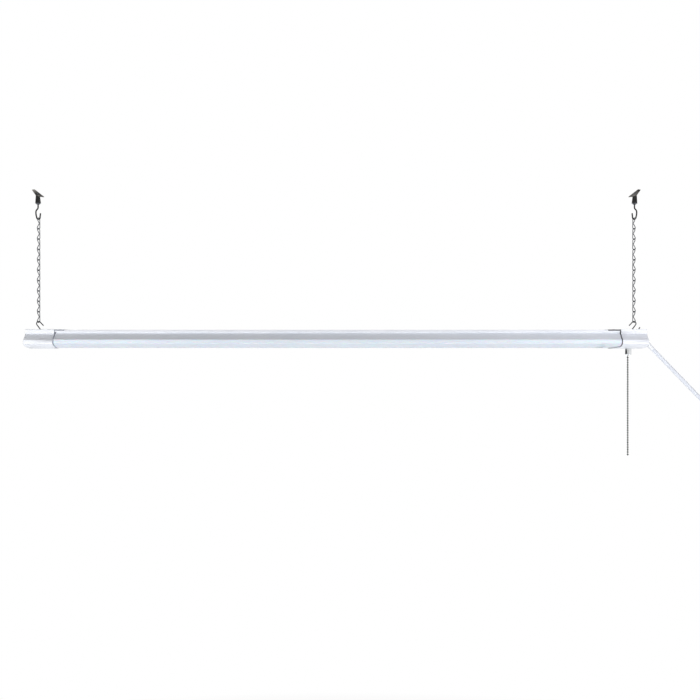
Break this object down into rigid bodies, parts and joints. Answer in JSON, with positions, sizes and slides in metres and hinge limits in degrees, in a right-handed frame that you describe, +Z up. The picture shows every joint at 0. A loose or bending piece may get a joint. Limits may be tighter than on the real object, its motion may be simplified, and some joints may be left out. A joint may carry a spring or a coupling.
{
  "type": "hanging shop light",
  "caption": "Linear shop light with moulded end caps, hung on jack chains from toggle ceiling hooks, with a pull switch on a bead chain and a plug-in supply cord.",
  "frame": {"origin": "on the underside of the ceiling, halfway between the two ceiling hooks", "axes": "+X along the light towards the end with the switch and the cord, +Y away from the viewer, +Z up"},
  "size_m": [1.3897, 0.1116, 0.6922],
  "materials": {
    "dark_steel": "dark oxide, semi-gloss",
    "zinc_steel": "zinc plated, satin",
    "toggle_steel": "zinc plated, dulled",
    "hook_steel": "dark zinc, satin",
    "white_plastic": "smooth moulded, semi-gloss",
    "white_steel": "white powder coat, satin",
    "opal_plastic": "opal diffuser, satin",
    "board_white": "white solder mask",
    "chip_yellow": "phosphor",
    "insulating_sheet": "plain sheet",
    "board_green": "green solder mask",
    "black_plastic": "moulded",
    "bright_chrome": "polished",
    "bead_steel": "dark nickel, polished",
    "lead_black": "smooth",
    "lead_white": "smooth",
    "lead_green": "smooth",
    "cord_white": "smooth, satin",
    "plug_brass": "plain"
  },
  "bodies": {
    "ceiling_hooks": {"left_ceiling_hook": "dark_steel", "left_hook_collar": "zinc_steel", "left_toggle_yoke": "dark_steel", "left_toggle_pin": "zinc_steel", "right_ceiling_hook": "dark_steel", "right_hook_collar": "zinc_steel", "right_toggle_yoke": "dark_steel", "right_toggle_pin": "zinc_steel"},
    "left_toggle": {"left_toggle_bar": "toggle_steel"},
    "right_toggle": {"right_toggle_bar": "toggle_steel"},
    "left_top_link": {"left_link_1": "zinc_steel"},
    "left_chain": {"left_link_2": "zinc_steel", "left_link_3": "zinc_steel", "left_link_4": "zinc_steel", "left_link_5": "zinc_steel", "left_link_6": "zinc_steel", "left_link_7": "zinc_steel", "left_link_8": "zinc_steel", "left_link_9": "zinc_steel", "left_link_10": "zinc_steel"},
    "left_hook": {"left_s_hook": "hook_steel"},
    "right_top_link": {"right_link_1": "zinc_steel"},
    "right_chain": {"right_link_2": "zinc_steel", "right_link_3": "zinc_steel", "right_link_4": "zinc_steel", "right_link_5": "zinc_steel", "right_link_6": "zinc_steel", "right_link_7": "zinc_steel", "right_link_8": "zinc_steel", "right_link_9": "zinc_steel", "right_link_10": "zinc_steel"},
    "right_hook": {"right_s_hook": "hook_steel"},
    "fixture": {"left_end_bracket": "dark_steel", "left_end_cap": "white_plastic", "right_end_bracket": "dark_steel", "right_end_cap": "white_plastic", "housing": "white_steel", "reflector_tray": "white_steel", "lens": "opal_plastic", "led_board_front": "board_white", "led_board_rear": "board_white", "leds": "chip_yellow", "driver_insulator": "insulating_sheet", "driver_board": "board_green", "driver_parts": "black_plastic", "switch_body": "black_plastic", "bracket_screws": "zinc_steel", "switch_ferrule": "bright_chrome", "live_lead": "lead_black", "neutral_lead": "lead_white", "earth_lead": "lead_green", "strain_relief": "cord_white", "supply_cord": "cord_white", "cord_hank": "cord_white", "cord_tie": "cord_white", "plug_body": "cord_white", "plug_pins": "plug_brass"},
    "pull": {"pull_stem": "dark_steel"},
    "pull_chain": {"chain_coupler": "dark_steel", "bead_chain": "bead_steel"}
  },
  "joints": [
    {"name": "left_toggle_tilt", "type": "hinge", "parent": "ceiling_hooks", "child": "left_toggle", "pos_m": [-0.5809, -0.0006, 0.018], "axis": [0, 1, 0], "range_deg": [-38, 30]},
    {"name": "left_swing", "type": "hinge", "parent": "ceiling_hooks", "child": "left_top_link", "pos_m": [-0.58, -0.0006, -0.0316], "axis": [1, 0, 0], "range_deg": [-12, 12]},
    {"name": "left_sway", "type": "hinge", "parent": "left_top_link", "child": "left_chain", "pos_m": [-0.58, 0, -0.05011], "axis": [0, 1, 0], "range_deg": [-12, 12]},
    {"name": "left_level", "type": "hinge", "parent": "left_chain", "child": "left_hook", "pos_m": [-0.58, 0, -0.23173], "axis": [0, 1, 0], "range_deg": [-12, 12]},
    {"name": "right_toggle_tilt", "type": "hinge", "parent": "ceiling_hooks", "child": "right_toggle", "pos_m": [0.5809, -0.0006, 0.018], "axis": [0, -1, 0], "range_deg": [-38, 30]},
    {"name": "right_swing", "type": "hinge", "parent": "ceiling_hooks", "child": "right_top_link", "pos_m": [0.58, -0.0006, -0.0316], "axis": [1, 0, 0], "range_deg": [-12, 12]},
    {"name": "right_sway", "type": "hinge", "parent": "right_top_link", "child": "right_chain", "pos_m": [0.58, 0, -0.05011], "axis": [0, 1, 0], "range_deg": [-12, 12]},
    {"name": "right_level", "type": "hinge", "parent": "right_chain", "child": "right_hook", "pos_m": [0.58, 0, -0.23173], "axis": [0, 1, 0], "range_deg": [-12, 12]},
    {"name": "fixture_tilt", "type": "hinge", "parent": "left_hook", "child": "fixture", "pos_m": [-0.58085, 0, -0.25561], "axis": [1, 0, 0], "range_deg": [-8, 8]},
    {"name": "switch_pull", "type": "slide", "parent": "fixture", "child": "pull", "axis": [0, 0, -1], "range_m": [0, 0.007], "stiffness_N_per_m": 250},
    {"name": "pull_chain_swing", "type": "hinge", "parent": "pull", "child": "pull_chain", "pos_m": [0.5678, 0, -0.29676], "axis": [0, 1, 0], "range_deg": [-40, 40]}
  ],
  "couplings": [
    {"joint": "left_level", "follows": "left_sway", "ratio": -1},
    {"joint": "right_sway", "follows": "left_sway", "ratio": 1},
    {"joint": "right_level", "follows": "left_sway", "ratio": -1},
    {"joint": "right_swing", "follows": "left_swing", "ratio": 1}
  ]
}
